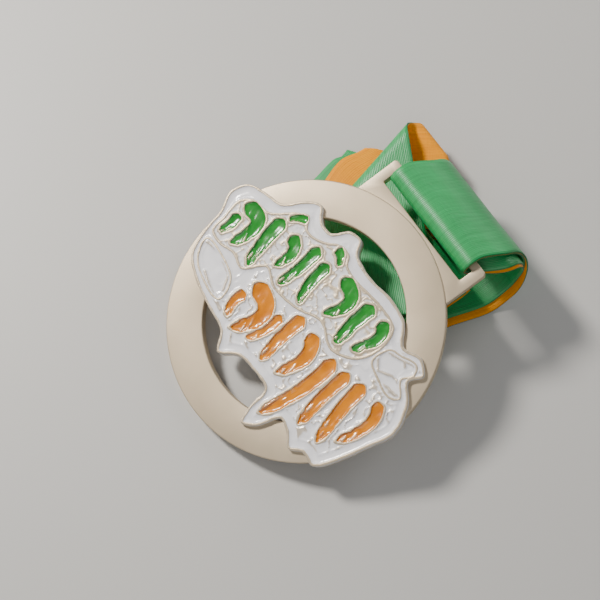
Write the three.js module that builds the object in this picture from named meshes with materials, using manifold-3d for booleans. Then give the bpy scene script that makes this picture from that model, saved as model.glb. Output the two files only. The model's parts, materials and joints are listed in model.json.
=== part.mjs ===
// Sports finisher medal: a satin-nickel ring with a slotted ribbon lug, a raised paint-splash
// plaque with soft-enamel brush marks, and a folded two-strand neck ribbon on the lug's bar.
// Units are millimetres and +Z is up. The origin is on the table, straight below the middle of
// the lug's bar: +X runs along the bar and +Y points away from the medal.

import * as THREE from "three";
import Module from "manifold-3d";
import { mergeVertices } from "three/addons/utils/BufferGeometryUtils.js";

const wasm = await Module();
wasm.setup();

// ---- driving dimensions -------------------------------------------------------------------

const RING_RADIUS = 35;            // 70 mm medal
const RING_BORE_RADIUS = 25.5;
const RING_THICKNESS = 3;
const RING_CHAMFER = 0.3;
const MEDAL_TILT = THREE.MathUtils.degToRad(16.2);

const LUG_HALF_WIDTH = 18.3;
const LUG_TOP = 41.6;              // far edge of the bar, from the ring's centre
const LUG_STEP = 0.4;              // the ring's face stands this much above the lug's
const SLOT_HALF_WIDTH = 15.6;
const SLOT_BOTTOM = 35.7;
const SLOT_TOP = 39.4;

const PLAQUE_FACE = 1.2;           // above the ring's face
const PLAQUE_BACK = -2.6;
const POCKET_FLOOR = 0.65;
const ENAMEL_BOTTOM = 0.75;
const ENAMEL_TOP = 1.05;
const ENAMEL_GAP = 0.12;           // between a fill and its pocket's wall
const RIM_WIDTH = 0.7;             // plain metal line round the plaque
const LAND_WIDTH = 0.5;            // plain metal line between two enamel fields
const BRUSH_HEAD = 0.1;            // share of a mark's length taken by its blunt head
const BRUSH_TAPER = 0.2;
const CLEARANCE = 0.3;             // between two solids that touch on the real medal

const RIBBON_WIDTH = 30;
const BAND = 1.3;                  // two strands of ribbon and the air between them
const WRAP_RADIUS = 2.6;           // middle of the band round the bar
const FOLD_CENTRE_Y = 2.7;
const FOLD_RADIUS = 11.85;         // middle of the band in the big fold behind the lug
const TAIL_BEND = 5;               // the tail turns down here to lie inside the big fold
const TAIL_BEND_Y = 7.5;
const TAIL_END = -32;              // degrees below the middle of the big fold
const LOWER_RUN_END = -28;
const LOBE_SPLIT = 8.6;            // top of the front fold beside the lug

// ---- places worked out from them ----------------------------------------------------------

const BAR_Y = (SLOT_TOP + LUG_TOP) / 2;
const BAR_Z = -(RING_THICKNESS + LUG_STEP) / 2;
const RING_LIFT = RING_RADIUS * Math.sin(MEDAL_TILT) + RING_THICKNESS * Math.cos(MEDAL_TILT);
const RING_OFFSET = -(BAR_Y * Math.cos(MEDAL_TILT) - BAR_Z * Math.sin(MEDAL_TILT));
const BAR_HEIGHT = RING_LIFT + BAR_Y * Math.sin(MEDAL_TILT) + BAR_Z * Math.cos(MEDAL_TILT);
const FOLD_CENTRE_Z = BAND / 2 + FOLD_RADIUS;

const v2 = (x, y) => new THREE.Vector2(x, y);
const rad = THREE.MathUtils.degToRad;

// ---- solids -------------------------------------------------------------------------------

function toSolid(geometry) {
  const bare = geometry.index ? geometry.toNonIndexed() : geometry.clone();
  bare.deleteAttribute("normal");
  bare.deleteAttribute("uv");
  const merged = mergeVertices(bare, 1e-4);
  return new wasm.Manifold(new wasm.Mesh({
    numProp: 3,
    vertProperties: new Float32Array(merged.attributes.position.array),
    triVerts: new Uint32Array(merged.index.array),
  }));
}

function toGeometry(solid) {
  const mesh = solid.getMesh();
  const geometry = new THREE.BufferGeometry();
  geometry.setAttribute("position", new THREE.BufferAttribute(mesh.vertProperties, 3));
  geometry.setIndex(new THREE.BufferAttribute(mesh.triVerts, 1));
  return geometry;
}

// A flat shape between two heights.
function slab(shape, low, high, curveSegments = 24) {
  const geometry = new THREE.ExtrudeGeometry(shape, {
    depth: high - low, bevelEnabled: false, curveSegments,
  });
  return geometry.translate(0, 0, low);
}

// A profile in the Y-Z plane, carried across the ribbon's width.
function acrossBar(shape, width, middle = 0) {
  const geometry = new THREE.ExtrudeGeometry(shape, { depth: width, bevelEnabled: false });
  const turn = new THREE.Matrix4().makeBasis(
    new THREE.Vector3(0, 1, 0), new THREE.Vector3(0, 0, 1), new THREE.Vector3(1, 0, 0));
  return geometry.applyMatrix4(turn).translate(middle - width / 2, 0, 0);
}

// The closed outline of a band of even thickness along an open run of points.
function bandShape(points, thickness) {
  const side = (sign) => points.map((p, i) => {
    const a = points[Math.max(i - 1, 0)];
    const b = points[Math.min(i + 1, points.length - 1)];
    const along = b.clone().sub(a).normalize();
    return v2(p.x - sign * along.y * thickness / 2, p.y + sign * along.x * thickness / 2);
  });
  return new THREE.Shape([...side(1), ...side(-1).reverse()]);
}

function arcPoints(cx, cy, radius, from, to, steps) {
  return Array.from({ length: steps + 1 }, (_, i) => {
    const a = rad(from + (to - from) * i / steps);
    return v2(cx + radius * Math.cos(a), cy + radius * Math.sin(a));
  });
}

// ---- outlines of the plaque ---------------------------------------------------------------

// A closed smooth outline through hand-placed points, moved inwards by inset.
function smoothLoop(corners, inset = 0, steps = 3) {
  const curve = new THREE.CatmullRomCurve3(
    corners.map(([x, y]) => new THREE.Vector3(x, y, 0)), true, "centripetal");
  const count = corners.length * steps;
  const points = Array.from({ length: count }, (_, i) => curve.getPoint(i / count));
  return points.map((p, i) => {
    const a = points[(i + count - 1) % count];
    const b = points[(i + 1) % count];
    const along = b.clone().sub(a).normalize();
    return v2(p.x + along.y * inset, p.y - along.x * inset);
  });
}

// Lobes and drips of the splash, clockwise from the left-hand lobe.
const SPLASH = [
  [-37.6, 3.5], [-36.2, 8.6], [-31.2, 11.0], [-26.4, 12.6], [-23.4, 17.4], [-19.8, 20.2], [-16.0, 17.8],
  [-12.4, 18.0], [-10.0, 21.8], [-6.4, 22.8], [-3.8, 20.0], [2.5, 19.2], [9.5, 20.2], [16.2, 19.4],
  [21.0, 15.8], [25.4, 17.6], [29.4, 15.6], [28.4, 11.8], [31.6, 9.6], [34.4, 6.2], [36.2, 1.5],
  [35.0, -5.0], [33.6, -12.0], [31.0, -18.2], [27.0, -18.2], [24.2, -20.6], [20.4, -18.6], [17.2, -18.2],
  [15.4, -23.6], [12.2, -26.6], [10.2, -22.8], [9.0, -17.2], [3.4, -17.0], [-1.6, -18.0],
  [-5.6, -21.8], [-9.6, -18.2], [-16.5, -17.4], [-24.0, -16.2], [-30.4, -13.4],
  [-33.6, -7.0], [-35.0, -1.0],
];

// Plain metal field round the green brush marks.
const FIELD = [
  [-34.2, 4.0], [-31.8, 7.4], [-26.6, 8.8], [-22.8, 13.4], [-19.6, 16.2], [-16.6, 13.8],
  [-12.0, 15.2], [-8.4, 18.2], [-5.2, 18.4], [-2.8, 16.4], [3.0, 16.4], [10.0, 17.4], [16.0, 16.6],
  [18.2, 12.0], [16.8, 5.0], [10.6, 1.2], [4.0, 3.2], [-2.6, 0.0], [-10.6, -1.4], [-15.6, 0.0],
  [-19.0, -5.2], [-24.0, -4.8], [-28.0, -6.2], [-32.2, -5.6], [-33.2, -1.0],
];

// Lower left white patch, framed by its own metal line.
const PATCH = [
  [-31.0, -8.0], [-24.0, -7.6], [-18.6, -9.2], [-16.6, -14.0], [-22.0, -14.4], [-28.4, -12.4],
];

// The right-hand white drips, framed the same way.
const DRIPS = [
  [19.8, 12.6], [22.4, 13.8], [26.0, 15.4], [27.6, 13.8], [26.6, 10.6], [30.0, 7.8], [28.0, 6.2],
  [23.0, 6.8], [19.4, 8.0],
];

// A brush mark: its middle line bends through three points, with a blunt head and a worn-out tail.
function brushMark([start, bend, end], width, inset = 0) {
  const curve = new THREE.QuadraticBezierCurve(v2(...start), v2(...bend), v2(...end));
  const steps = 12;
  const trim = inset / curve.getLength();
  const sides = [-1, 1].map((sign) => Array.from({ length: steps - 1 }, (_, i) => {
    const t = trim + (1 - 2 * trim) * (i + 1) / steps;
    const half = width / 2 * Math.sqrt(Math.min(t / BRUSH_HEAD, 1)) * (1 - t) ** BRUSH_TAPER - inset;
    const p = curve.getPoint(t);
    const along = curve.getTangent(t);
    return v2(p.x - sign * along.y * half, p.y + sign * along.x * half);
  }));
  const tip = curve.getPoint(1 - trim);
  const head = curve.getPoint(trim);
  return new THREE.Shape([head, ...sides[0], tip, ...sides[1].reverse()]);
}

const GREEN_MARKS = {
  green_enamel_crest: [[[-32.2, 4.9], [-22.8, 8.6], [-26.4, -4.0]], 4.2],
  green_enamel_dab_left: [[[-31.2, 2.2], [-29.4, -1.4], [-31.0, -4.2]], 2.8],
  green_enamel_blade_1: [[[-22.6, 10.6], [-21.8, 3.4], [-19.0, -3.4]], 3.8],
  green_enamel_fleck_1: [[[-18.6, 15.2], [-20.8, 14.2], [-21.8, 11.6]], 2.0],
  green_enamel_comma_1: [[[-18.2, 9.6], [-12.6, 9.6], [-14.8, 1.9]], 3.2],
  green_enamel_blade_2: [[[-11.2, 13.6], [-9.4, 6.6], [-10.4, 0.2]], 3.2],
  green_enamel_fleck_2: [[[-8.2, 16.8], [-6.4, 17.2], [-4.4, 14.6]], 2.4],
  green_enamel_blade_3: [[[-6.2, 13.0], [-6.2, 6.4], [-3.2, 1.6]], 3.2],
  green_enamel_comma_2: [[[-1.6, 13.6], [8.0, 14.8], [2.6, 4.8]], 3.8],
  green_enamel_blade_4: [[[8.8, 15.8], [8.8, 9.0], [10.4, 3.0]], 3.8],
  green_enamel_comma_3: [[[12.8, 15.0], [18.0, 14.0], [13.8, 5.6]], 3.2],
};

const ORANGE_MARKS = {
  orange_enamel_flame: [[[-14.0, -4.4], [-1.4, -3.6], [-8.6, -15.6]], 4.6],
  orange_enamel_dab_left: [[[-13.2, -7.8], [-14.6, -11.4], [-11.4, -14.8]], 2.8],
  orange_enamel_dab_mid: [[[-3.2, -3.6], [-1.6, -9.0], [-4.0, -13.8]], 2.6],
  orange_enamel_blade_1: [[[0.8, 0.6], [0.6, -6.0], [2.6, -14.0]], 3.6],
  orange_enamel_comma_1: [[[4.8, -0.4], [11.6, -2.6], [7.4, -12.6]], 3.8],
  orange_enamel_drip: [[[13.6, 0.8], [16.0, -8.6], [12.8, -21.6]], 3.8],
  orange_enamel_blade_2: [[[18.4, 1.6], [18.6, -6.2], [20.8, -15.2]], 3.4],
  orange_enamel_blade_3: [[[22.8, 3.0], [23.6, -4.6], [27.0, -14.0]], 3.6],
  orange_enamel_comma_2: [[[27.8, 3.2], [33.2, 0.6], [29.6, -10.0]], 3.0],
};

// ---- medal pieces, in the medal's own plane (Z = 0 is the ring's face) ----------------------

function medalRing() {
  const outer = RING_RADIUS;
  const bore = RING_BORE_RADIUS;
  const low = -RING_THICKNESS;
  const c = RING_CHAMFER;
  const profile = [
    v2(bore, low + c), v2(bore + c, low), v2(outer - c, low), v2(outer, low + c),
    v2(outer, -c), v2(outer - c, 0), v2(bore + c, 0), v2(bore, -c), v2(bore, low + c),
  ];
  const ring = toSolid(new THREE.LatheGeometry(profile, 96).rotateX(Math.PI / 2));
  const corner = 0.6;
  const plate = new THREE.Shape();
  plate.moveTo(-LUG_HALF_WIDTH, BAR_Y - 14);
  plate.lineTo(LUG_HALF_WIDTH, BAR_Y - 14);
  plate.lineTo(LUG_HALF_WIDTH, LUG_TOP - corner);
  plate.absarc(LUG_HALF_WIDTH - corner, LUG_TOP - corner, corner, 0, Math.PI / 2);
  plate.absarc(-LUG_HALF_WIDTH + corner, LUG_TOP - corner, corner, Math.PI / 2, Math.PI);
  plate.lineTo(-LUG_HALF_WIDTH, BAR_Y - 14);
  const slot = new THREE.Shape([
    v2(-SLOT_HALF_WIDTH, SLOT_BOTTOM), v2(SLOT_HALF_WIDTH, SLOT_BOTTOM),
    v2(SLOT_HALF_WIDTH, SLOT_TOP), v2(-SLOT_HALF_WIDTH, SLOT_TOP),
  ]);
  const bore_cut = new THREE.Shape();
  bore_cut.absarc(0, 0, (bore + outer) / 2, 0, 2 * Math.PI);
  const lug = toSolid(slab(plate, low, -LUG_STEP, 6))
    .subtract(toSolid(slab(slot, low - 1, 1)))
    .subtract(toSolid(slab(bore_cut, low - 1, 1, 48)));
  return toGeometry(ring.add(lug));
}

function discSolid(radius, low, high) {
  const circle = new THREE.Shape();
  circle.absarc(0, 0, radius, 0, 2 * Math.PI);
  return toSolid(slab(circle, low, high, 48));
}

// The white border: inside the rim, outside the metal field and the framed patches and marks.
function borderSolid(low, high, gap) {
  const frame = LAND_WIDTH + gap;
  const islands = [
    smoothLoop(FIELD, -gap), smoothLoop(PATCH, -frame), smoothLoop(DRIPS, -frame),
  ].map((loop) => new THREE.Shape(loop));
  islands.push(...Object.values(ORANGE_MARKS).map(([line, width]) => brushMark(line, width, -frame)));
  const outside = new THREE.Shape(smoothLoop(SPLASH, RIM_WIDTH + gap));
  return islands.reduce(
    (solid, island) => solid.subtract(toSolid(slab(island, low - 1, high + 1))),
    toSolid(slab(outside, low, high)));
}

function splashPlaque() {
  const outline = new THREE.Shape(smoothLoop(SPLASH));
  let solid = toSolid(slab(outline, PLAQUE_BACK, PLAQUE_FACE));
  const ringKeepOut = discSolid(RING_RADIUS + CLEARANCE, PLAQUE_BACK - 1, CLEARANCE)
    .subtract(discSolid(RING_BORE_RADIUS - CLEARANCE, PLAQUE_BACK - 2, CLEARANCE + 1));
  solid = solid.subtract(ringKeepOut);
  const top = PLAQUE_FACE + 1;
  solid = solid.subtract(borderSolid(POCKET_FLOOR, top, 0));
  for (const loop of [PATCH, DRIPS]) {
    solid = solid.subtract(toSolid(slab(new THREE.Shape(smoothLoop(loop)), POCKET_FLOOR, top)));
  }
  for (const [line, width] of Object.values({ ...GREEN_MARKS, ...ORANGE_MARKS })) {
    solid = solid.subtract(toSolid(slab(brushMark(line, width), POCKET_FLOOR, top)));
  }
  return toGeometry(solid);
}

function markFill([line, width]) {
  return slab(brushMark(line, width, ENAMEL_GAP), ENAMEL_BOTTOM, ENAMEL_TOP);
}

function patchFill(loop) {
  return slab(new THREE.Shape(smoothLoop(loop, ENAMEL_GAP)), ENAMEL_BOTTOM, ENAMEL_TOP);
}

// ---- ribbon pieces, in the table's frame ----------------------------------------------------

// The sewn tail inside the big fold, under the bar, round it, and out over the top.
function barLoop() {
  const inner = FOLD_RADIUS - BAND - CLEARANCE;
  const path = [
    ...arcPoints(FOLD_CENTRE_Y, FOLD_CENTRE_Z, inner, TAIL_END, 25, 6),
    ...arcPoints(TAIL_BEND_Y, BAR_HEIGHT - WRAP_RADIUS - TAIL_BEND, TAIL_BEND, 30, 90, 4),
    ...arcPoints(0, BAR_HEIGHT, WRAP_RADIUS, -90, -270, 12),
    v2(1.6, BAR_HEIGHT + 2.5),
    v2(3.3, BAR_HEIGHT + 2.1),
  ];
  return acrossBar(bandShape(path, BAND), RIBBON_WIDTH);
}

// From the top of the lug, down behind it, and back along the table under the medal.
function cFold() {
  const path = [
    ...arcPoints(FOLD_CENTRE_Y, FOLD_CENTRE_Z, FOLD_RADIUS, 84, -90, 16),
    v2(LOWER_RUN_END, BAND / 2),
  ];
  return acrossBar(bandShape(path, BAND), RIBBON_WIDTH);
}

// The block of folded layers under the medal, rounded at both ends.
function pack() {
  const low = BAND + CLEARANCE;
  const profile = new THREE.Shape();
  profile.moveTo(-24, low);
  profile.lineTo(-1, low);
  profile.quadraticCurveTo(4.2, 8, 1.5, 14.2);
  profile.lineTo(-21, 10.2);
  profile.quadraticCurveTo(-30, 6, -24, low);
  return acrossBar(profile, 28);
}

// The front fold beside the lug, flat on the table.
function frontLobe() {
  const corners = [[-15.5, 3], [-26, 4.5], [-31, 1], [-29.5, -7], [-26, -15], [-15.5, -18]];
  return slab(new THREE.Shape(corners.map((c) => v2(...c))), 0, LOBE_SPLIT);
}

// The rear fold stands on the table behind the front one and lies over it.
function rearLobe() {
  const low = LOBE_SPLIT + CLEARANCE;
  const profile = new THREE.Shape([
    v2(5, 0), v2(18, 0), v2(19.6, 7), v2(13, 15.6), v2(-8, 15), v2(-9, low), v2(5, low),
  ]);
  return acrossBar(profile, 14, -22.5);
}

// One row of thread on the outside of the big fold, as a thin cord across the ribbon.
function stitchRow(angle) {
  const radius = FOLD_RADIUS + BAND / 2 + CLEARANCE + 0.2;
  const [at] = arcPoints(FOLD_CENTRE_Y, FOLD_CENTRE_Z, radius, angle, angle, 1);
  const row = new THREE.CylinderGeometry(0.2, 0.2, RIBBON_WIDTH - 4, 8).rotateZ(Math.PI / 2);
  return row.translate(0, at.x, at.y);
}

// ---- finishes -----------------------------------------------------------------------------

const finish = (color, roughness, metalness) =>
  new THREE.MeshStandardMaterial({ color, roughness, metalness });
const NICKEL = finish("#ddcfb9", 0.42, 0.85);
const WHITE = finish("#f2f0ee", 0.15, 0);
const GREEN = finish("#3f9b4c", 0.2, 0);
const ORANGE = finish("#eb8c1e", 0.2, 0);
const SATIN = finish("#54bd76", 0.45, 0);
const REVERSE = finish("#f6a12b", 0.5, 0);
const THREAD = finish("#3fa562", 0.8, 0);

function piece(name, geometry, material) {
  const mesh = new THREE.Mesh(geometry, material);
  mesh.name = name;
  return mesh;
}

// ---- assembly -----------------------------------------------------------------------------

const medal = new THREE.Group();
medal.add(piece("medal_ring", medalRing(), NICKEL));
medal.add(piece("splash_plaque", splashPlaque(), NICKEL));
const border = toGeometry(borderSolid(ENAMEL_BOTTOM, ENAMEL_TOP, ENAMEL_GAP));
medal.add(piece("white_enamel_border", border, WHITE));
medal.add(piece("white_enamel_patch", patchFill(PATCH), WHITE));
medal.add(piece("white_enamel_drips", patchFill(DRIPS), WHITE));
for (const [name, mark] of Object.entries(GREEN_MARKS)) {
  medal.add(piece(name, markFill(mark), GREEN));
}
for (const [name, mark] of Object.entries(ORANGE_MARKS)) {
  medal.add(piece(name, markFill(mark), ORANGE));
}
medal.rotation.x = MEDAL_TILT;
medal.position.set(0, RING_OFFSET, RING_LIFT);

const ribbon = new THREE.Group();
ribbon.add(piece("ribbon_bar_loop", barLoop(), SATIN));
ribbon.add(piece("ribbon_c_fold", cFold(), SATIN));
ribbon.add(piece("ribbon_pack", pack(), SATIN));
ribbon.add(piece("ribbon_lobe_rear", rearLobe(), REVERSE));
ribbon.add(piece("ribbon_lobe_front", frontLobe(), REVERSE));
ribbon.add(piece("seam_stitching_upper", stitchRow(TAIL_END + 16), THREAD));
ribbon.add(piece("seam_stitching_lower", stitchRow(TAIL_END + 6), THREAD));

const finisherMedal = new THREE.Group();
finisherMedal.add(medal, ribbon);

export default finisherMedal;
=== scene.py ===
"""A sports finisher medal lying on its folded neck ribbon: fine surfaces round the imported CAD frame."""

import json
import math

import bmesh
import bpy
import numpy as np
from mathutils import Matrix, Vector
from mathutils.geometry import delaunay_2d_cdt
from mathutils.kdtree import KDTree


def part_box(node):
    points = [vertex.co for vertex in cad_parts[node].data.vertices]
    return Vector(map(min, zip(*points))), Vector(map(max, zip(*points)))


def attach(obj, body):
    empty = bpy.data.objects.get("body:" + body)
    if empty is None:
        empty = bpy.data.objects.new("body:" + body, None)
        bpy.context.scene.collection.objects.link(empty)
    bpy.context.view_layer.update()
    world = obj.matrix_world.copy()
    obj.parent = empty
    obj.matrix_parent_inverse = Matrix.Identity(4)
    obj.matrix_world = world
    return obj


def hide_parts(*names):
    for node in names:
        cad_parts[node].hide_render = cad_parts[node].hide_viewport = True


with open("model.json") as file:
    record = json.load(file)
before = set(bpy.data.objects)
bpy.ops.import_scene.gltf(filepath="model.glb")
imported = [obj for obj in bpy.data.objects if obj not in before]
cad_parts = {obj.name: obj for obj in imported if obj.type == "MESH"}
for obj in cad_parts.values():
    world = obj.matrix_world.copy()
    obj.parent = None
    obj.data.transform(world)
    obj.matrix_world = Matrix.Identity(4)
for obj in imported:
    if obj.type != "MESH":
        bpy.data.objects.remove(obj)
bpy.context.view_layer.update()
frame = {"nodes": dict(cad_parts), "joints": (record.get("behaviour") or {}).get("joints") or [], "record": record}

MM = 0.001
SCENE = bpy.context.scene

# ---- the medal's own plane, read from the frame ---------------------------------------------

PLAQUE_BACK = 2.6          # mm from the plaque's back to the ring's face
RING_THICKNESS = 3.0
PLAQUE_FACE = 1.2          # mm above the ring's face
LUG_STEP = 0.4

MOUNTS = {m["name"]: m for m in frame["record"]["mounts"]}
MEDAL_UP = -np.array(MOUNTS["engraving_face"]["axis"])
MEDAL_UP /= np.linalg.norm(MEDAL_UP)
MEDAL_RIGHT = np.array([1.0, 0.0, 0.0])
MEDAL_TOP = np.cross(MEDAL_UP, MEDAL_RIGHT)
MEDAL_CENTRE = np.array(MOUNTS["engraving_face"]["pos_m"]) / MM + MEDAL_UP * PLAQUE_BACK
BAR_HEIGHT = frame["joints"][0]["pos_m"][2] / MM


def medal_to_row(points):
    """Medal coordinates in mm to the row frame in metres."""
    points = np.asarray(points, float)
    axes = np.stack([MEDAL_RIGHT, MEDAL_TOP, MEDAL_UP])
    return (points @ axes + MEDAL_CENTRE) * MM


def row_to_medal(points):
    axes = np.stack([MEDAL_RIGHT, MEDAL_TOP, MEDAL_UP])
    return (np.asarray(points, float) / MM - MEDAL_CENTRE) @ axes.T


def smooth_step(x, low, high):
    t = np.clip((x - low) / (high - low), 0, 1)
    return t * t * (3 - 2 * t)


# ---- camera, floor and light ----------------------------------------------------------------

VIEW_AZIMUTH = math.radians(56.36)
VIEW_ELEVATION = math.radians(69.85)
VIEW_DISTANCE = 257.5                  # mm to the point looked at
VIEW_LENS = 63.5                       # mm on a 36 mm sensor
VIEW_TARGET = (-3.6, -37.5, 14.2)      # mm, near the plaque's middle


def make_camera():
    back = Vector((
        math.sin(VIEW_AZIMUTH) * math.cos(VIEW_ELEVATION),
        -math.cos(VIEW_AZIMUTH) * math.cos(VIEW_ELEVATION),
        math.sin(VIEW_ELEVATION),
    ))
    data = bpy.data.cameras.new("camera")
    data.lens = VIEW_LENS
    data.clip_start = 0.01
    camera = bpy.data.objects.new("camera", data)
    camera.location = (Vector(VIEW_TARGET) + back * VIEW_DISTANCE) * MM
    camera.rotation_euler = back.to_track_quat("Z", "Y").to_euler()
    SCENE.collection.objects.link(camera)
    SCENE.camera = camera


def area_light(name, position, size, power, colour=(1, 1, 1)):
    data = bpy.data.lights.new(name, "AREA")
    data.shape = "DISK"
    data.size = size
    data.energy = power
    data.color = colour
    light = bpy.data.objects.new(name, data)
    light.location = position
    aim = Vector(VIEW_TARGET) * MM - Vector(position)
    light.rotation_euler = aim.to_track_quat("-Z", "Y").to_euler()
    SCENE.collection.objects.link(light)


def make_stage():
    bpy.ops.mesh.primitive_plane_add(size=3.0)
    floor = bpy.context.object
    floor.name = "floor"
    material, shader, _ = new_material("pale_floor")
    shader.inputs["Base Color"].default_value = (0.55, 0.54, 0.52, 1)
    shader.inputs["Roughness"].default_value = 0.55
    floor.data.materials.append(material)
    world = bpy.data.worlds.new("soft_room")
    world.use_nodes = True
    world.node_tree.nodes["Background"].inputs["Color"].default_value = (0.95, 0.97, 1.0, 1)
    world.node_tree.nodes["Background"].inputs["Strength"].default_value = 0.18
    SCENE.world = world
    area_light("key", (-0.36, -0.16, 0.36), 0.10, 3.9, (1.0, 0.96, 0.90))
    area_light("fill", (0.35, -0.30, 0.45), 0.5, 0.9)
    area_light("rim", (-0.05, 0.45, 0.30), 0.3, 0.7)


# ---- materials ------------------------------------------------------------------------------

class Nodes:
    """Short calls for building one material's node tree."""

    def __init__(self, tree):
        self.tree = tree

    def add(self, kind, **inputs):
        node = self.tree.nodes.new(kind)
        for key, value in inputs.items():
            self.put(node, key, value)
        return node

    def put(self, node, key, value):
        if hasattr(value, "is_output"):
            socket = node.inputs[int(key[1:])] if key[0] == "_" else node.inputs[key]
            self.tree.links.new(value, socket)
        elif key[0] == "_":
            node.inputs[int(key[1:])].default_value = value
        elif key in node.inputs:
            node.inputs[key].default_value = value
        else:
            setattr(node, key, value)

    def ramp(self, value, stops):
        node = self.tree.nodes.new("ShaderNodeValToRGB")
        while len(node.color_ramp.elements) < len(stops):
            node.color_ramp.elements.new(0.5)
        for element, (position, colour) in zip(node.color_ramp.elements, stops):
            element.position = position
            element.color = (*colour, 1) if len(colour) == 3 else colour
        self.tree.links.new(value, node.inputs["Fac"])
        return node.outputs["Color"]

    def math(self, operation, a, b=0.0):
        node = self.tree.nodes.new("ShaderNodeMath")
        node.operation = operation
        self.put(node, "_0", a)
        self.put(node, "_1", b)
        return node.outputs[0]

    def mix(self, fac, a, b, blend="MIX"):
        node = self.tree.nodes.new("ShaderNodeMix")
        node.data_type = "RGBA"
        node.blend_type = blend
        self.put(node, "_0", fac)
        self.put(node, "_6", a)
        self.put(node, "_7", b)
        return node.outputs[2]

    def noise(self, scale, detail=2.0, vector=None):
        node = self.tree.nodes.new("ShaderNodeTexNoise")
        node.inputs["Scale"].default_value = scale
        node.inputs["Detail"].default_value = detail
        if vector is None:
            coord = self.tree.nodes.new("ShaderNodeTexCoord")
            vector = coord.outputs["Object"]
        self.tree.links.new(vector, node.inputs["Vector"])
        return node.outputs["Fac"]

    def bump(self, height, distance, strength=1.0, normal=None):
        node = self.tree.nodes.new("ShaderNodeBump")
        node.inputs["Distance"].default_value = distance
        node.inputs["Strength"].default_value = strength
        self.tree.links.new(height, node.inputs["Height"])
        if normal is not None:
            self.tree.links.new(normal, node.inputs["Normal"])
        return node.outputs["Normal"]


def new_material(name):
    material = bpy.data.materials.new(name)
    material.use_nodes = True
    tree = material.node_tree
    return material, tree.nodes["Principled BSDF"], Nodes(tree)


NICKEL_DARK = (0.59, 0.48, 0.335)
NICKEL_LIGHT = (0.67, 0.55, 0.39)
METALLIC = 0.62
OTHER = "other_finish"     # point attribute: enamel left on the metal, or metal bare in the enamel


def satin_nickel():
    """Pearl nickel, with white enamel left in the hollows of the cast ground."""
    material, shader, n = new_material("satin_nickel")
    enamelled = n.add("ShaderNodeAttribute", attribute_name=OTHER).outputs["Fac"]
    grain = n.noise(5200, 2)
    tint = n.ramp(n.noise(90, 3), [(0.3, NICKEL_DARK), (0.7, NICKEL_LIGHT)])
    n.put(shader, "Base Color", n.mix(enamelled, tint, (0.80, 0.79, 0.80, 1)))
    n.put(shader, "Metallic", n.math("MULTIPLY", n.math("SUBTRACT", 1.0, enamelled), METALLIC))
    rough = n.ramp(grain, [(0.3, (0.42,) * 3), (0.75, (0.52,) * 3)])
    n.put(shader, "Roughness", rough)
    n.put(shader, "Normal", n.bump(grain, 0.000012, 0.5))
    return material


def enamel(name, light, dark, roughness=0.22):
    """Soft enamel, with the metal bare along the crests that stand out of it."""
    material, shader, n = new_material(name)
    bare = n.add("ShaderNodeAttribute", attribute_name=OTHER).outputs["Fac"]
    colour = n.ramp(n.noise(260, 3), [(0.3, dark), (0.62, light)])
    n.put(shader, "Base Color", n.mix(bare, colour, (*NICKEL_LIGHT, 1)))
    n.put(shader, "Metallic", n.math("MULTIPLY", bare, METALLIC))
    n.put(shader, "Roughness", n.math("ADD", n.math("MULTIPLY", bare, 0.25), roughness))
    shader.inputs["Coat Weight"].default_value = 0.25
    shader.inputs["Coat Roughness"].default_value = 0.08
    n.put(shader, "Normal", n.bump(n.noise(700, 2), 0.00003, 0.4))
    return material


WEAVE = "weave"            # point attribute: metres along and across the ribbon
RIB_PITCH = 0.00028        # metres between cross threads
WARP_PITCH = 0.00045       # metres between the threads along the ribbon


def satin(name, light, dark, glow, shine):
    """Satin ribbon: faint cross threads, warp threads along it, and a soft sheen."""
    material, shader, n = new_material(name)
    attribute = n.add("ShaderNodeAttribute", attribute_name=WEAVE)
    split = n.add("ShaderNodeSeparateXYZ", Vector=attribute.outputs["Vector"])
    along = split.outputs["X"]
    across = split.outputs["Y"]
    rib = n.math("SINE", n.math("MULTIPLY", along, 2 * math.pi / RIB_PITCH))
    warp = n.math("SINE", n.math("MULTIPLY", across, 2 * math.pi / WARP_PITCH))
    streak_at = n.add("ShaderNodeCombineXYZ", X=n.math("MULTIPLY", along, 90.0),
                      Y=n.math("MULTIPLY", across, 1500.0), Z=0.0)
    streak = n.noise(1.0, 2, streak_at.outputs[0])
    pick_at = n.add("ShaderNodeCombineXYZ", X=n.math("MULTIPLY", along, 2600.0),
                    Y=n.math("MULTIPLY", across, 240.0), Z=0.0)
    pick = n.noise(1.0, 2, pick_at.outputs[0])
    blend = n.math("ADD", n.math("MULTIPLY", streak, 0.7), n.math("MULTIPLY", pick, 0.3))
    n.put(shader, "Base Color", n.ramp(blend, [(0.32, dark), (0.66, light)]))
    shader.inputs["Roughness"].default_value = 0.46
    shader.inputs["Sheen Weight"].default_value = 0.05
    shader.inputs["Sheen Roughness"].default_value = 0.35
    shader.inputs["Sheen Tint"].default_value = (*glow, 1)
    shader.inputs["Specular IOR Level"].default_value = shine
    height = n.math("ADD", n.math("MULTIPLY", rib, 0.06), n.math("MULTIPLY", warp, 0.5))
    height = n.math("ADD", height, n.math("MULTIPLY", streak, 1.6))
    n.put(shader, "Normal", n.bump(height, 0.00005, 0.8))
    return material


# ---- outlines taken from the CAD solids -------------------------------------------------------

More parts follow.
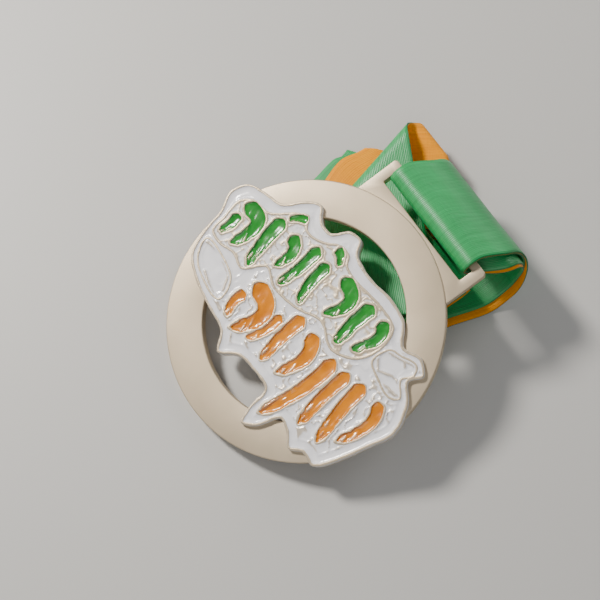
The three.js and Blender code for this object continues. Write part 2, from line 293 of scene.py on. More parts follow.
def top_loops(node, level=None):
    """The closed outlines of a CAD node's top face, in medal millimetres, solid on their left."""
    mesh = frame["nodes"][node].data
    co = row_to_medal([v.co[:] for v in mesh.vertices])
    top = co[:, 2].max() if level is None else level
    keys = {}
    ids = []
    for point in co:
        key = (round(point[0], 3), round(point[1], 3), round(point[2], 2))
        ids.append(keys.setdefault(key, len(keys)))
    where = np.array([key[:2] for key in keys])
    nexts = {}
    edges = set()
    mesh.calc_loop_triangles()
    for triangle in mesh.loop_triangles:
        corners = list(triangle.vertices)
        if max(abs(co[c][2] - top) for c in corners) > 0.02:
            continue
        a, b, c = (ids[i] for i in corners)
        for edge in ((a, b), (b, c), (c, a)):
            if edge[::-1] in edges:
                edges.remove(edge[::-1])
            else:
                edges.add(edge)
    for a, b in edges:
        nexts.setdefault(a, []).append(b)
    loops = []
    while nexts:
        start = min(nexts)
        loop = [start]
        at = nexts[start].pop()
        while at != start:
            loop.append(at)
            at = nexts[at].pop()
        nexts = {a: b for a, b in nexts.items() if b}
        loops.append(where[loop])
    return sorted(loops, key=lambda l: -abs(signed_area(l)))


def signed_area(loop):
    x, y = loop.T
    return 0.5 * np.sum(x * np.roll(y, -1) - np.roll(x, -1) * y)


def resample(loop, spacing):
    """A closed smooth curve through the loop's points, at even spacing."""
    before, after, beyond = np.roll(loop, 1, 0), np.roll(loop, -1, 0), np.roll(loop, -2, 0)
    fine = []
    for t in np.linspace(0, 1, 8, endpoint=False):
        fine.append(0.5 * (2 * loop + (after - before) * t
                           + (2 * before - 5 * loop + 4 * after - beyond) * t ** 2
                           + (3 * loop - before - 3 * after + beyond) * t ** 3))
    curve = np.stack(fine, 1).reshape(-1, 2)
    closed = np.vstack([curve, curve[:1]])
    length = np.concatenate([[0], np.cumsum(np.linalg.norm(np.diff(closed, axis=0), axis=1))])
    count = max(12, int(length[-1] / spacing))
    at = np.linspace(0, length[-1], count, endpoint=False)
    return np.stack([np.interp(at, length, closed[:, k]) for k in (0, 1)], 1)


def loop_normals(loop):
    """Unit vectors to the right of the way along the loop: out of the solid on its left."""
    along = np.roll(loop, -1, 0) - np.roll(loop, 1, 0)
    along /= np.maximum(np.linalg.norm(along, axis=1, keepdims=True), 1e-9)
    return np.stack([along[:, 1], -along[:, 0]], 1)


def grown(loop, amount):
    return loop + loop_normals(loop) * amount


def ragged(loop, amount, seed):
    """The loop with an uneven edge; amount may differ from point to point."""
    random = np.random.default_rng(seed)
    count = len(loop)
    wave = np.zeros(count)
    for cycles, share in ((0.09, 0.5), (0.21, 0.35), (0.43, 0.25)):
        rough = random.normal(size=max(4, int(count * cycles)))
        at = np.linspace(0, len(rough), count, endpoint=False)
        wave += share * np.interp(at, np.arange(len(rough) + 1), np.append(rough, rough[0]))
    return loop + loop_normals(loop) * (amount * np.clip(wave, -1.2, 1.2))[:, None]


def stroke_axis(loop):
    """Where a brush stroke starts, its unit direction from head to tail, and its length."""
    centre = loop.mean(0)
    _, _, axes = np.linalg.svd(loop - centre)
    t, off = (loop - centre) @ axes.T[:, 0], np.abs((loop - centre) @ axes.T[:, 1])
    axis = axes[0] * (1 if off[t < 0].mean() > off[t > 0].mean() else -1)
    t = (loop - centre) @ axis
    return centre + axis * t.min(), axis, t.max() - t.min()


def inside(points, loops):
    """Even-odd test of points against closed loops."""
    odd = np.zeros(len(points), bool)
    for loop in loops:
        a, b = loop, np.roll(loop, -1, 0)
        for (ax, ay), (bx, by) in zip(a, b):
            if ay == by:
                continue
            crosses = (points[:, 1] >= min(ay, by)) & (points[:, 1] < max(ay, by))
            x = ax + (points[:, 1] - ay) * (bx - ax) / (by - ay)
            odd ^= crosses & (points[:, 0] < x)
    return odd


def distance_to(points, loops):
    """Distance from each point to the nearest point of the loops, which are close-set."""
    close = np.vstack(loops)
    tree = KDTree(len(close))
    for k, (x, y) in enumerate(close):
        tree.insert((x, y, 0), k)
    tree.balance()
    return np.array([tree.find((x, y, 0))[2] for x, y in points])


def grid_inside(loops, spacing):
    """A lattice of points inside the loops, clear of their edges."""
    close = np.vstack(loops)
    low, high = close.min(0), close.max(0)
    columns = np.arange(low[0], high[0], spacing)
    rows = np.arange(low[1], high[1], spacing * 0.866)
    x, y = np.meshgrid(columns, rows)
    x[1::2] += spacing / 2
    points = np.stack([x, y], -1).reshape(-1, 2)
    points = points[inside(points, loops)]
    return points[distance_to(points, loops) > spacing * 0.5]


def fill(loops, extra=None):
    """Triangles that fill the even-odd area of the loops, through the extra points."""
    points, edges = [], []
    for loop in loops:
        first = len(points)
        points += [Vector(p) for p in loop]
        edges += [(first + i, first + (i + 1) % len(loop)) for i in range(len(loop))]
    if extra is not None:
        points += [Vector(p) for p in extra]
    co, _, faces, _, _, _ = delaunay_2d_cdt(points, edges, [], 0, 1e-6)
    co = np.array([c[:] for c in co])
    faces = np.array([f for f in faces if len(f) == 3])
    keep = inside(co[faces].mean(1), loops)
    return co, faces[keep]


# ---- mesh helpers -----------------------------------------------------------------------------

def mesh_object(name, points, faces, materials, smooth_angle=40):
    """A closed piece: doubled points are merged, small cracks filled and faces turned outwards."""
    mesh = bpy.data.meshes.new(name)
    mesh.from_pydata([tuple(p) for p in points], [], [tuple(int(i) for i in f) for f in faces])
    work = bmesh.new()
    work.from_mesh(mesh)
    bmesh.ops.remove_doubles(work, verts=work.verts, dist=2e-6)
    loose = [v for v in work.verts if not v.link_faces]
    bmesh.ops.delete(work, geom=loose, context="VERTS")
    cracks = [e for e in work.edges if len(e.link_faces) == 1]
    bmesh.ops.holes_fill(work, edges=cracks, sides=0)
    bmesh.ops.recalc_face_normals(work, faces=work.faces)
    work.to_mesh(mesh)
    work.free()
    for material in materials:
        mesh.materials.append(material)
    piece = bpy.data.objects.new(name, mesh)
    SCENE.collection.objects.link(piece)
    mesh.polygons.foreach_set("use_smooth", [True] * len(mesh.polygons))
    mesh.set_sharp_from_angle(angle=math.radians(smooth_angle))
    return piece


def rounding(radius, steps):
    """(inset, drop) pairs round a quarter circle, from the flat face to the wall."""
    angles = np.linspace(0, math.pi / 2, steps + 1)
    return [(radius * (1 - math.sin(a)), radius * (1 - math.cos(a))) for a in angles]


class Plate:
    """Plates with rounded rims and other small shapes, gathered into one mesh."""

    def __init__(self):
        self.points = []
        self.faces = []

    def add(self, points, faces):
        first = len(self.points)
        self.points += list(points)
        self.faces += [tuple(first + i for i in f) for f in faces]

    def face(self, loops, level, up=True, extra=None, relief=None):
        co, faces = fill(loops, extra)
        height = np.full(len(co), float(level))
        if relief is not None:
            height += relief(co)
        self.add(np.column_stack([co, height]), faces if up else faces[:, ::-1])

    def wall(self, rings):
        """Rings are (loop, height) with equal counts."""
        count = len(rings[0][0])
        points = np.vstack([np.column_stack([loop, np.full(count, h)]) for loop, h in rings])
        faces = []
        for k in range(len(rings) - 1):
            for i in range(count):
                j = (i + 1) % count
                faces.append((k * count + i, (k + 1) * count + i, (k + 1) * count + j, k * count + j))
        self.add(points, faces)

    def rim(self, loop, top, low, radius, steps=3):
        """A rounded top edge and a wall. Returns the flat face's outline."""
        rings = [(grown(loop, -inset), top - drop) for inset, drop in rounding(radius, steps)]
        self.wall(rings + [(loop, low)])
        return rings[0][0]

    def build(self, name, materials, smooth_angle=40):
        row = medal_to_row(np.array(self.points))
        return mesh_object(name, row, self.faces, materials, smooth_angle)


def place(piece, body, slot, *nodes):
    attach(piece, body)
    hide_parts(*nodes)
    return piece


# ---- medal ------------------------------------------------------------------------------------

ENAMEL_GAP = 0.12          # mm the CAD fills stand clear of their pockets
EDGE = 0.16
GRID = 0.26
POCKET_FLOOR = 0.5
CHANNEL = 2.7              # width of the smooth white band inside the plaque's rim
RING_BORE = 25.5           # inner radius of the ring
RING_EDGE = 0.32           # rounding of the ring's edges
LUG_HALF_WIDTH = 18.3
LUG_ROOT = 28.0            # the lug's plate starts inside the ring
LUG_TOP = 41.6
LUG_CORNER = 0.6
LUG_EDGE = 0.18            # rounding of the lug's edges
LUG_SINK = 0.02            # the lug's back lies this far inside the ring's back, so that they join cleanly
SLOT_CORNER = 0.35
PLAQUE_CUT = 0.3           # steps along the plaque's outline
PLAQUE_EDGE = 0.3          # rounding of the plaque's back edge
WHITE = ["white_enamel_border", "white_enamel_patch", "white_enamel_drips"]
MARKS = sorted(n for n in frame["nodes"] if n.startswith(("green_enamel", "orange_enamel")))

# Raised lines in the white enamel, in medal millimetres.
RIDGES = [
    ((17.5, 12.0), (21.0, 12.6), (25.5, 15.0), (29.0, 15.6)),
    ((18.5, 10.0), (21.8, 7.6), (25.0, 9.6), (30.0, 10.2)),
    ((19.5, 15.6), (22.5, 14.8), (25.0, 13.2)),
    ((23.2, 5.6), (26.4, 7.2), (30.2, 7.6)),
    ((28.0, 12.8), (29.6, 13.6)),
    ((-31.0, -8.5), (-26.0, -7.2), (-20.0, -8.6), (-17.6, -12.0)),
    ((-24.5, -13.0), (-19.5, -14.5), (-14.0, -15.4)),
]


def pocket_loops(node):
    loops = [resample(grown(loop, ENAMEL_GAP), EDGE) for loop in top_loops(node)]
    if node in WHITE:
        return [ragged(loop, 0.07, WHITE.index(node)) for loop in loops]
    head, axis, length = stroke_axis(loops[0])
    share = np.clip((loops[0] - head) @ axis / length, 0, 1)
    return [ragged(loops[0], 0.07 + 0.24 * share ** 2, MARKS.index(node))]


def turned_ring(nickel):
    """The flat ring, turned from a profile with rounded edges."""
    low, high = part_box("medal_ring")
    outer = (high.x - low.x) / 2 / MM - RING_EDGE
    inner = RING_BORE + RING_EDGE
    top, bottom = -RING_EDGE, RING_EDGE - RING_THICKNESS
    profile = []
    corners = [(outer, top), (inner, top), (inner, bottom), (outer, bottom)]
    for k, (radius, height) in enumerate(corners):
        start = 90 * k
        for a in np.radians(np.linspace(start, start + 90, 6)):
            profile.append((radius + RING_EDGE * math.cos(a), height + RING_EDGE * math.sin(a)))
    turns = 288
    points, faces = [], []
    for k in range(turns):
        a = 2 * math.pi * k / turns
        points += [(r * math.cos(a), r * math.sin(a), h) for r, h in profile]
    count = len(profile)
    for k in range(turns):
        shift = count if k < turns - 1 else count - turns * count
        for i in range(count):
            a, b = k * count + i, k * count + (i + 1) % count
            faces.append((a, a + shift, b + shift, b))
    return mesh_object("medal_ring_fine", medal_to_row(points), faces, [nickel])


def lug_plate(nickel):
    """The slotted plate on the ring's rim, with soft edges round its outline and its slot."""
    side, end = LUG_HALF_WIDTH, LUG_TOP - LUG_CORNER
    outline = np.array([
        (-side, LUG_ROOT), (side, LUG_ROOT), (side, end),
        (side - LUG_CORNER, LUG_TOP), (LUG_CORNER - side, LUG_TOP), (-side, end),
    ])
    slot = next(loop for loop in top_loops("medal_ring", -LUG_STEP) if len(loop) == 4)
    back = LUG_SINK - RING_THICKNESS
    lug = Plate()
    tops, backs = [], []
    for loop in (dense(outline, 0.5), dense(rounded_corners(slot, SLOT_CORNER), 0.5)):
        tops.append(lug.rim(loop, -LUG_STEP, -RING_THICKNESS / 2, LUG_EDGE))
        rings = [(grown(loop, -inset), back + drop) for inset, drop in rounding(LUG_EDGE, 3)]
        lug.wall([(loop, -RING_THICKNESS / 2)] + rings[::-1])
        backs.append(rings[0][0])
    lug.face(tops, -LUG_STEP)
    lug.face(backs, back, up=False)
    return lug.build("lug_plate", [nickel])


def medal_ring(nickel):
    """The turned ring and the slotted lug as one clean solid."""
    ring = turned_ring(nickel)
    union(ring, lug_plate(nickel))
    return place(ring, "medal", "satin_nickel", "medal_ring")


def rounded_corners(loop, radius):
    """The loop with each corner cut by a short arc."""
    out = []
    for before, corner, after in zip(np.roll(loop, 1, 0), loop, np.roll(loop, -1, 0)):
        a = corner + radius * (before - corner) / np.linalg.norm(before - corner)
        b = corner + radius * (after - corner) / np.linalg.norm(after - corner)
        for t in np.linspace(0, 1, 5):
            out.append((1 - t) ** 2 * a + 2 * t * (1 - t) * corner + t ** 2 * b)
    return np.array(out)


def dense(loop, spacing):
    """Straight sides split into short steps."""
    out = []
    for a, b in zip(loop, np.roll(loop, -1, 0)):
        steps = max(1, int(np.linalg.norm(b - a) / spacing))
        out += [a + (b - a) * i / steps for i in range(steps)]
    return np.array(out)


def union(target, tool):
    modifier = target.modifiers.new("join", "BOOLEAN")
    modifier.operation = "UNION"
    modifier.solver = "EXACT"
    modifier.object = tool
    bpy.context.view_layer.update()
    evaluated = target.evaluated_get(bpy.context.evaluated_depsgraph_get())
    joined = bpy.data.meshes.new_from_object(evaluated)
    target.modifiers.clear()
    target.data = joined
    bpy.data.objects.remove(tool)
    joined.polygons.foreach_set("use_smooth", [True] * len(joined.polygons))
    joined.set_sharp_from_angle(angle=math.radians(32))


LATTICE = 64               # cells each way before the noise repeats


def smooth_noise(points, scale, seed):
    """Soft random height between -1 and 1, from a seeded lattice."""
    random = np.random.default_rng(seed)
    lattice = random.uniform(-1, 1, (LATTICE, LATTICE))
    grid = points / scale + 31
    cell = np.floor(grid).astype(int) % LATTICE
    t = grid - np.floor(grid)
    t = t * t * (3 - 2 * t)
    right, up = (cell[:, 0] + 1) % LATTICE, (cell[:, 1] + 1) % LATTICE
    low = lattice[cell[:, 0], cell[:, 1]] * (1 - t[:, 0]) + lattice[right, cell[:, 1]] * t[:, 0]
    high = lattice[cell[:, 0], up] * (1 - t[:, 0]) + lattice[right, up] * t[:, 0]
    return low * (1 - t[:, 1]) + high * t[:, 1]


def wrinkles(points, scale, seed):
    """Thin crests, 0 to 1, that wander like folds in a skin of paint."""
    skew = points + 0.5 * scale * np.stack([smooth_noise(points, scale, seed + 1),
                                            smooth_noise(points, scale, seed + 2)], 1)
    return (1 - np.abs(smooth_noise(skew, scale, seed))) ** 5


def field_relief(points, edges):
    """The cast metal between the green marks: a lip round each pocket, then a hammered ground."""
    depth = distance_to(points, edges)
    lip = 0.10 * np.exp(-((depth - 0.24) / 0.14) ** 2) * np.clip(depth / 0.12, 0, 1)
    ground = smooth_step(depth, 0.34, 0.75)
    return lip + ground * (0.2 * wrinkles(points, 1.5, 11) + 0.05 * smooth_noise(points, 0.6, 4) - 0.2)


def splash_plaque(nickel, pockets):
    """The raised plate, with a rounded rim and a recess for each enamel field."""
    outline = resample(top_loops("splash_plaque")[0], PLAQUE_CUT)
    if signed_area(outline) < 0:
        outline = outline[::-1]
    outline = ragged(outline, 0.12, 7)
    plate = Plate()
    flats = [plate.rim(outline, PLAQUE_FACE, PLAQUE_EDGE - PLAQUE_BACK, 0.28, 4)]
    back = [(grown(outline, -inset), drop - PLAQUE_BACK) for inset, drop in rounding(PLAQUE_EDGE, 3)]
    plate.wall([(outline, PLAQUE_EDGE - PLAQUE_BACK)] + back[::-1])
    plate.face([back[0][0]], -PLAQUE_BACK, up=False)
    for loop in pockets:
        flats.append(plate.rim(loop[::-1], PLAQUE_FACE, POCKET_FLOOR, 0.1, 3))
    extra = grid_inside(flats, GRID * 0.85)
    plate.face(flats, PLAQUE_FACE, extra=extra, relief=lambda co: field_relief(co, flats))
    plate.face(pockets, POCKET_FLOOR)
    piece = plate.build("splash_plaque_fine", [nickel], 50)
    heights = row_to_medal([v.co[:] for v in piece.data.vertices])[:, 2]
    mark_points(piece, smooth_step(PLAQUE_FACE - heights, 0.05, 0.16) * (heights > PLAQUE_FACE - 0.3))
    return place(piece, "medal", "satin_nickel", "splash_plaque")


def mark_points(piece, share):
    attribute = piece.data.attributes.new(OTHER, "FLOAT", "POINT")
    attribute.data.foreach_set("value", np.asarray(share, np.float32))


def ridge_crests(points):
    """The height, 0 to 1, of the raised lines in the white enamel."""
    crest = np.zeros(len(points))
    for line in RIDGES:
        dots = []
        for a, b in zip(np.array(line), np.array(line)[1:]):
            dots += [a + (b - a) * t for t in np.linspace(0, 1, 16)]
        crest = np.maximum(crest, np.exp(-(distance_to(points, [np.array(dots)]) / 0.42) ** 2))
    return crest


def white_height(points, depth, outline, marks):
    """Smooth in the channel inside the rim, creased round the orange marks, ridged in the drips."""
    from_rim = distance_to(points, [outline])
    near_marks = np.exp(-(distance_to(points, marks) / 3.4) ** 2)
    inner = smooth_step(from_rim, CHANNEL - 0.3, CHANNEL + 0.3)
    line = np.exp(-((from_rim - CHANNEL) / 0.3) ** 2) * (0.4 + 0.6 * near_marks)
    crease = inner * near_marks * wrinkles(points, 1.9, 21)
    free = np.clip(depth / 0.5, 0, 1)
    bow = 0.08 * smooth_noise(points, 2.4, 5)
    return free * (0.22 * line + 0.52 * crease + 0.42 * ridge_crests(points) + bow)


def mark_height(points, depth, loop):
    """Uneven along the stroke, with bristle streaks that break through dry towards its tail."""
    head, axis, length = stroke_axis(loop)
    along = (points - head) @ axis
    across = (points - head) @ np.array([-axis[1], axis[0]])
    share = np.clip(along / length, 0, 1)
    streaks = smooth_noise(np.stack([along / 5, across], 1), 0.62, 9)
    blobs = smooth_noise(points, 1.4, 13)
    dry = smooth_step(streaks, 0.25, 0.6) * smooth_step(share, 0.45, 0.9)
    return np.clip(depth / 0.3, 0, 1) * (0.09 * streaks * (0.2 + share) + 0.06 * blobs + 0.34 * dry)


def enamel_fill(node, loops, material, level, climb, slot, relief):
    """A poured fill whose surface climbs the walls round it."""
    co, faces = fill(loops, grid_inside(loops, GRID))
    depth = distance_to(co, loops)
    height = level + climb * np.exp(-depth / 0.4) + relief(co, depth)
    count = len(co)
    rim = {}
    for face in faces:
        for a, b in zip(face, np.roll(face, -1)):
            if rim.pop((b, a), None) is None:
                rim[(a, b)] = True
    plate = Plate()
    plate.add(np.column_stack([co, height]), faces)
    plate.add(np.column_stack([co, np.full(count, POCKET_FLOOR + 0.02)]), faces[:, ::-1])
    plate.faces += [(b, a, a + count, b + count) for a, b in rim]
    piece = plate.build(node + "_fill", [material], 60)
    final = row_to_medal([v.co[:] for v in piece.data.vertices])
    clear = distance_to(final[:, :2], loops) > (0.4 if node in WHITE else 0.25)
    mark_points(piece, smooth_step(final[:, 2], level + 0.24, level + 0.34) * clear * 0.8)
    return place(piece, "medal", slot, node)


WHITE_LEVEL, WHITE_CLIMB = 0.72, 0.36      # mm above the pocket's datum, and up the walls round it
MARK_LEVEL, MARK_CLIMB = 0.66, 0.38


def make_medal():
    nickel = satin_nickel()
    white = enamel("white_enamel", (0.93, 0.92, 0.945), (0.85, 0.84, 0.88))
    green = enamel("green_enamel", (0.02, 0.27, 0.03), (0.012, 0.19, 0.02))
    orange = enamel("orange_enamel", (0.76, 0.245, 0.0), (0.58, 0.165, 0.0))
    medal_ring(nickel)
    loops = {node: pocket_loops(node) for node in WHITE + MARKS}
    outline = resample(top_loops("splash_plaque")[0], PLAQUE_CUT)
    orange_loops = [loops[node][0] for node in MARKS if node.startswith("orange")]
    for node in WHITE:
        enamel_fill(node, loops[node], white, WHITE_LEVEL, WHITE_CLIMB, "white_enamel",
                    lambda co, depth: white_height(co, depth, outline, orange_loops))
    for node in MARKS:
        is_green = node.startswith("green")
        enamel_fill(node, loops[node], green if is_green else orange, MARK_LEVEL, MARK_CLIMB,
                    "green_enamel" if is_green else "orange_enamel",
                    lambda co, depth: mark_height(co, depth, loops[node][0]))
    splash_plaque(nickel, [loop for node in loops for loop in loops[node]])


# ---- ribbon -----------------------------------------------------------------------------------

RIBBON_WIDTH = 30.0
STRAND = 0.42              # thickness of one strand
STRAND_GAP = 0.25          # each strand's middle, from the middle of the doubled band
WRAP_RADIUS = 2.6          # middle of the band round the bar
FOLD_RADIUS = 11.85        # middle of the band in the big fold behind the lug
TAIL_RADIUS = 10.25        # the sewn tail lies inside the big fold
LOWER_RUN = 28.8           # along the table, under the medal
LAYER_RUNS = (26.5, 25.5, 24.5)
LAYER_SLOPE = 7            # degrees, as the layers rise towards the lug
FIRST_RADIUS = 1.9         # where the lower run turns up into the layers
LAYER_RADIUS = 0.72
CROWN = (12, 12.4, 2.64)   # over the bar: degrees, radius, then a straight run to the big fold
TAIL_CROWN = (6.19, 3.87)  # under the bar: a straight run, then the radius of the turn down
TAIL_TURNS = (55, 77)      # degrees down from the lug, and round the inside of the big fold
STEP = 0.6
ACROSS = 31


class Route:
    """The creases of a flat strip, in the order that it meets them."""

    def __init__(self):
        self.length = 0.0
        self.creases = []

    def run(self, length):
        self.length += length
        return self

    def bend(self, degrees, radius, skew=0.0):
        """Positive bends towards the strip's upper face. Skew turns the crease across the strip."""
        self.creases.append((self.length, math.radians(degrees), radius, math.radians(skew)))
        self.length += abs(math.radians(degrees)) * radius
        return self

    def shape(self, s, w, z):
        """Where the flat strip's points end up. The creases keep every length on its middle surface."""
        p = np.stack([s, w, z], -1).astype(float)
        for at, angle, radius, skew in reversed(self.creases):
            forward = np.array([math.cos(skew), math.sin(skew), 0.0])
            ahead = (s - at) * forward[0] + w * forward[1]
            turn = np.clip(ahead / radius, 0, abs(angle))
            p = p - forward * (turn * radius)[..., None]
            up = math.copysign(1.0, angle)
            centre = np.array([at, 0.0, up * radius])
            rel = p - centre
            along = rel @ forward
            high = rel[..., 2] * up
            flat = rel - forward * along[..., None]
            flat[..., 2] = (along * np.sin(turn) + high * np.cos(turn)) * up
            p = centre + flat + forward * (along * np.cos(turn) - high * np.sin(turn))[..., None]
        return p


def start_frame(origin, heading, lift=0.0, roll=0.0):
    """Axes of a strip: compass heading from +X, its way on rising by lift, its left side by roll."""
    a, b, c = (math.radians(angle) for angle in (heading, lift, roll))
    along = np.array([math.cos(a) * math.cos(b), math.sin(a) * math.cos(b), math.sin(b)])
    side = np.array([-math.sin(a), math.cos(a), 0.0])
    across = side * math.cos(c) + np.cross(along, side) * math.sin(c)
    return np.array(origin, float), along, across, np.cross(along, across)


def strip_grid(route, place_at, offset, s_values, w_values):
    origin, along, across, up = place_at
    s, w = np.meshgrid(s_values, w_values, indexing="ij")
    p = route.shape(s, w, np.full_like(s, offset))
    return origin + p[..., :1] * along + p[..., 1:2] * across + p[..., 2:] * up


def strand_mesh(upper, lower, s_values, w_values, turned=False):
    """One closed strand from its two faces: quads, face materials and weave coordinates.
    A turned strand has its green face below."""
    rows, columns = upper.shape[:2]
    points = np.vstack([upper.reshape(-1, 3), lower.reshape(-1, 3)])
    half = rows * columns
    faces, kinds = [], []
    index = np.arange(half).reshape(rows, columns)
    for i in range(rows - 1):
        for j in range(columns - 1):
            a, b, c, d = index[i, j], index[i + 1, j], index[i + 1, j + 1], index[i, j + 1]
            faces.append((a, b, c, d))
            kinds.append(0)
            faces.append((d + half, c + half, b + half, a + half))
            kinds.append(1)
    edge = list(index[:, 0]) + list(index[-1, 1:]) + list(index[-2::-1, -1]) + list(index[0, -2:0:-1])
    # The narrow edge faces take material 2. Its dark green is painted shade along the strip's edges.
    for a, b in zip(edge, edge[1:] + edge[:1]):
        faces.append((b, a, a + half, b + half))
        kinds.append(2)
    if turned:
        faces = [face[::-1] for face in faces]
    s, w = np.meshgrid(s_values, w_values, indexing="ij")
    weave = np.stack([s, w, np.zeros_like(s)], -1).reshape(-1, 3) * MM
    return points, faces, kinds, np.vstack([weave, weave])


def ribbon_object(name, strands, materials):
    points, faces, kinds, weave = [], [], [], []
    for p, f, k, uv in strands:
        first = len(points)
        points += list(p)
        faces += [tuple(first + i for i in face) for face in f]
        kinds += k
        weave += list(uv)
    mesh = bpy.data.meshes.new(name)
    mesh.from_pydata([tuple(np.array(p) * MM) for p in points], [], faces)
    for material in materials:
        mesh.materials.append(material)
    mesh.polygons.foreach_set("material_index", kinds)
    mesh.polygons.foreach_set("use_smooth", [k < 2 for k in kinds])
    attribute = mesh.attributes.new(WEAVE, "FLOAT_VECTOR", "POINT")
    attribute.data.foreach_set("vector", np.array(weave, np.float32).ravel())
    piece = bpy.data.objects.new(name, mesh)
    SCENE.collection.objects.link(piece)
    return piece


def crumple(points, amount=0.22):
    """A gentle unevenness that moves neighbouring layers together."""
    wave = (np.sin(points[..., 0] * 0.23 + points[..., 1] * 0.19 + 0.6)
            + np.sin(points[..., 0] * 0.11 - points[..., 1] * 0.31 + 2.1)
            + 0.5 * np.sin(points[..., 0] * 0.47 + 1.3)) * 0.45
    moved = points.copy()
    moved[..., 2] += amount * wave * np.clip(points[..., 2] / 6, 0, 1)
    return moved


def main_route():
    """From the top of the bar down the big fold, back along the table, then up in a zigzag."""
    angle, radius, run = CROWN
    route = Route().bend(-angle, radius).run(run).bend(angle - 180, FOLD_RADIUS).run(LOWER_RUN)
    route.bend(LAYER_SLOPE - 180, FIRST_RADIUS)
    for k, run in enumerate(LAYER_RUNS):
        route.run(run)
        if run != LAYER_RUNS[-1]:
            route.bend(180 if k % 2 == 0 else -180, LAYER_RADIUS)
    return route


def tail_route():
    """From the top of the bar round it, and down along the inside of the big fold."""
    run, radius = TAIL_CROWN
    down, round_fold = TAIL_TURNS
    return Route().bend(-190, WRAP_RADIUS).run(run).bend(down, radius).bend(round_fold, TAIL_RADIUS)


def drift(s):
    """How far the band wanders sideways along its way."""
    out = 2.4 * smooth_step(s, 1, 10) + 4.2 * smooth_step(s, 9, 32) - 3.4 * smooth_step(s, 36, 54)
    back = 5.0 * smooth_step(-s, 5, 17)
    sway = -2.6 * smooth_step(s, 62, 76) + 0.9 * smooth_step(s, 98, 106)
    return out + back + sway - 0.4


def slip(s, outer):
    """How far the two strands slide apart beside each other."""
    down = 1.0 * smooth_step(s, 16, 32) - 0.6 * smooth_step(s, 60, 90)
    back = 0.7 * smooth_step(-s, 6, 14)
    return down + back if outer else -down


def main_band(materials):
    forward, backward = main_route(), tail_route()
    top = (0.0, 0.0, BAR_HEIGHT + WRAP_RADIUS)
    ahead, behind = start_frame(top, 90), start_frame(top, -90)
    s_back = np.arange(-backward.length, 0, STEP / 2)
    s_front = np.append(np.arange(0, forward.length, STEP / 1.5), forward.length)
    s_values = np.concatenate([s_back, s_front])
    w_values = np.linspace(-RIBBON_WIDTH / 2, RIBBON_WIDTH / 2, ACROSS)
    strands = []
    for outer, middle in ((True, STRAND_GAP), (False, -STRAND_GAP)):
        faces = []
        for offset in (middle + STRAND / 2, middle - STRAND / 2):
            grid = np.concatenate([
                strip_grid(backward, behind, offset, -s_back, -w_values),
                strip_grid(forward, ahead, offset, s_front, w_values),
            ])
            grid[..., 0] += (drift(s_values) + slip(s_values, outer))[:, None]
            faces.append(crumple(grid))
        green, orange = faces if outer else faces[::-1]
        strands.append(strand_mesh(green, orange, s_values, w_values, turned=not outer))
    return ribbon_object("ribbon_band", strands, materials), 2 * (forward.length + backward.length)


def single_strip(route, place_at, green_up, settle=None):
    s_values = np.append(np.arange(0, route.length, STEP / 1.5), route.length)
    w_values = np.linspace(-RIBBON_WIDTH / 2, RIBBON_WIDTH / 2, ACROSS)
    sides = []
    for offset in (STRAND / 2, -STRAND / 2):
        grid = strip_grid(route, place_at, offset, s_values, w_values)
        sides.append(crumple(settle(grid) if settle else grid))
    green, orange = sides if green_up else sides[::-1]
    return strand_mesh(green, orange, s_values, w_values, turned=not green_up)


def tuck_under_fold(points):
    """The rear fold draws in where it passes into the big fold."""
    moved = points.copy()
    x, y = points[..., 0], points[..., 1]
    moved[..., 1] -= 5.5 * smooth_step(x, -18, -10) * smooth_step(y, 4, 15)
    return moved


def round_off(points):
    """The front fold's far end is a rounded tongue, and its left side bows out."""
    moved = points.copy()
    x, y = points[..., 0], points[..., 1]
    moved[..., 0] -= 2.6 * np.exp(-((y + 4.5) / 7.5) ** 2) * smooth_step(x, -20, -31)
    moved[..., 1] -= 0.13 * (x + 27.3) ** 2 * smooth_step(y, -8, 4) * (x < -24)
    return moved


def rear_fold(materials):
    """Green, out from the layers under the lug; orange where it folds back behind the lug."""
    route = Route().run(34.8).bend(-180, 2.4, 41.5).run(23.3).bend(180, 1.6, -33).run(11)
    place_at = start_frame((9.8, -22.8, 8.9), 154, 3.0, -6.2)
    strip = single_strip(route, place_at, True, tuck_under_fold)
    return ribbon_object("ribbon_rear_fold", [strip], materials), route.length


def front_folds(materials):
    """An orange fold, and under it a green one that shows past its left edge."""
    upper = Route().run(29.4).bend(-180, 0.55, -4.4).run(24)
    lower = Route().run(26).bend(-180, 0.4, 15.5).run(20)
    strips = [
        single_strip(upper, start_frame((-13.4, -22.1, 3.4), 98, 3.5, -2), False, round_off),
        single_strip(lower, start_frame((-15.0, -16.1, 1.9), 109.5, 0, -3), True),
    ]
    return ribbon_object("ribbon_front_fold", strips, materials), upper.length + lower.length


STITCH_ROWS = {"seam_stitching_upper": -16, "seam_stitching_lower": -26}   # degrees round the big fold
STITCH_PITCH = 2.9
STITCH_LENGTH = 2.2
STITCH_RADIUS = 0.2
STITCH_STEPS = 8
STITCH_SIDES = 8
STITCH_SHIFT = 24.0        # mm along the band, where its sideways drift gives the rows' place


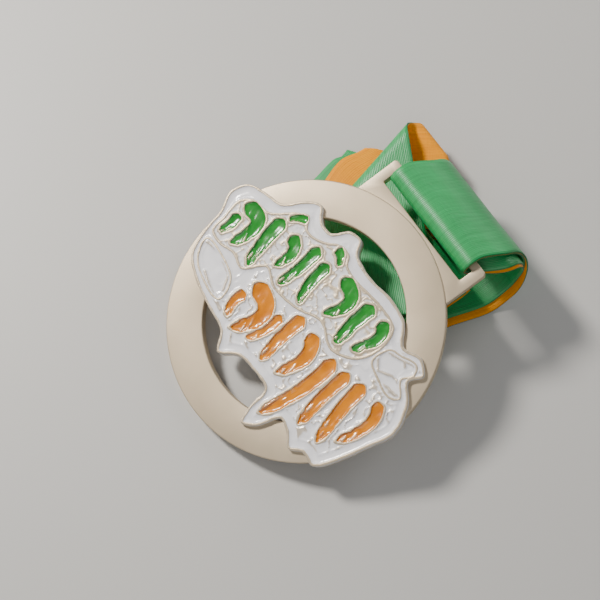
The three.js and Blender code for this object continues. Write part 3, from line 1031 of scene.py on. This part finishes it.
def stitch(start, normal, side):
    """One stitch: a short thread that rises out of the ribbon and dives back into it."""
    rings = []
    for t in np.linspace(0, 1, STITCH_STEPS + 1):
        rise = 0.28 * math.sin(math.pi * t) ** 0.6 - 0.3
        fat = STITCH_RADIUS * (0.55 + 0.45 * math.sin(math.pi * t))
        centre = start + (STITCH_LENGTH * t, 0, 0) + normal * rise
        turns = np.linspace(0, 2 * math.pi, STITCH_SIDES, endpoint=False)
        rings.append([centre + fat * (math.cos(a) * normal + math.sin(a) * side) for a in turns])
    faces = []
    for first in range(0, STITCH_STEPS * STITCH_SIDES, STITCH_SIDES):
        for i in range(STITCH_SIDES):
            a, b = first + i, first + (i + 1) % STITCH_SIDES
            faces.append((a, b, b + STITCH_SIDES, a + STITCH_SIDES))
    last = STITCH_STEPS * STITCH_SIDES
    faces.append(tuple(range(STITCH_SIDES - 1, -1, -1)))
    faces.append(tuple(range(last, last + STITCH_SIDES)))
    return np.vstack(rings), faces


def stitches(material):
    """Two rows of lock stitches across the outside of the big fold, through the sewn tail."""
    for node, degrees in STITCH_ROWS.items():
        low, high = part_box(node)
        middle = np.array([0, low.y + high.y, low.z + high.z]) / 2 / MM
        angle = math.radians(degrees)
        normal = np.array([0, math.cos(angle), math.sin(angle)])
        side = np.array([0, -math.sin(angle), math.cos(angle)])
        row = Plate()
        for k in range(int((high.x - low.x) / MM / STITCH_PITCH)):
            start = middle + (low.x / MM + k * STITCH_PITCH + drift(STITCH_SHIFT), 0, 0)
            row.add(*stitch(start, normal, side))
        piece = mesh_object(node + "_fine", np.array(row.points) * MM, row.faces, [material], 60)
        place(piece, "ribbon", "thread", node)


def thread_material():
    material, shader, n = new_material("thread")
    colour = n.ramp(n.noise(3000, 2), [(0.3, (0.03, 0.25, 0.07)), (0.7, (0.06, 0.38, 0.13))])
    n.put(shader, "Base Color", colour)
    shader.inputs["Roughness"].default_value = 0.6
    return material


def make_ribbon():
    green = satin("ribbon_green", (0.01, 0.40, 0.10), (0.004, 0.27, 0.06), (0.5, 1.0, 0.7), 0.9)
    orange = satin("ribbon_orange", (0.95, 0.36, 0.0), (0.80, 0.265, 0.0), (1.0, 0.7, 0.2), 0.22)
    # The selvedge colour, a much darker green than the face, is painted shade along the ribbon's narrow edges.
    edge = satin("ribbon_edge_painted_shade", (0.01, 0.17, 0.05), (0.005, 0.11, 0.03), (0.4, 0.8, 0.5), 0.3)
    materials = [green, orange, edge]
    for build, nodes in (
        (main_band, ("ribbon_bar_loop", "ribbon_c_fold", "ribbon_pack")),
        (rear_fold, ("ribbon_lobe_rear",)),
        (front_folds, ("ribbon_lobe_front",)),
    ):
        piece, length = build(materials)
        place(piece, "ribbon", "ribbon_satin", *nodes)
    stitches(thread_material())


# ---- build ------------------------------------------------------------------------------------

make_camera()
make_ribbon()
make_medal()
make_stage()
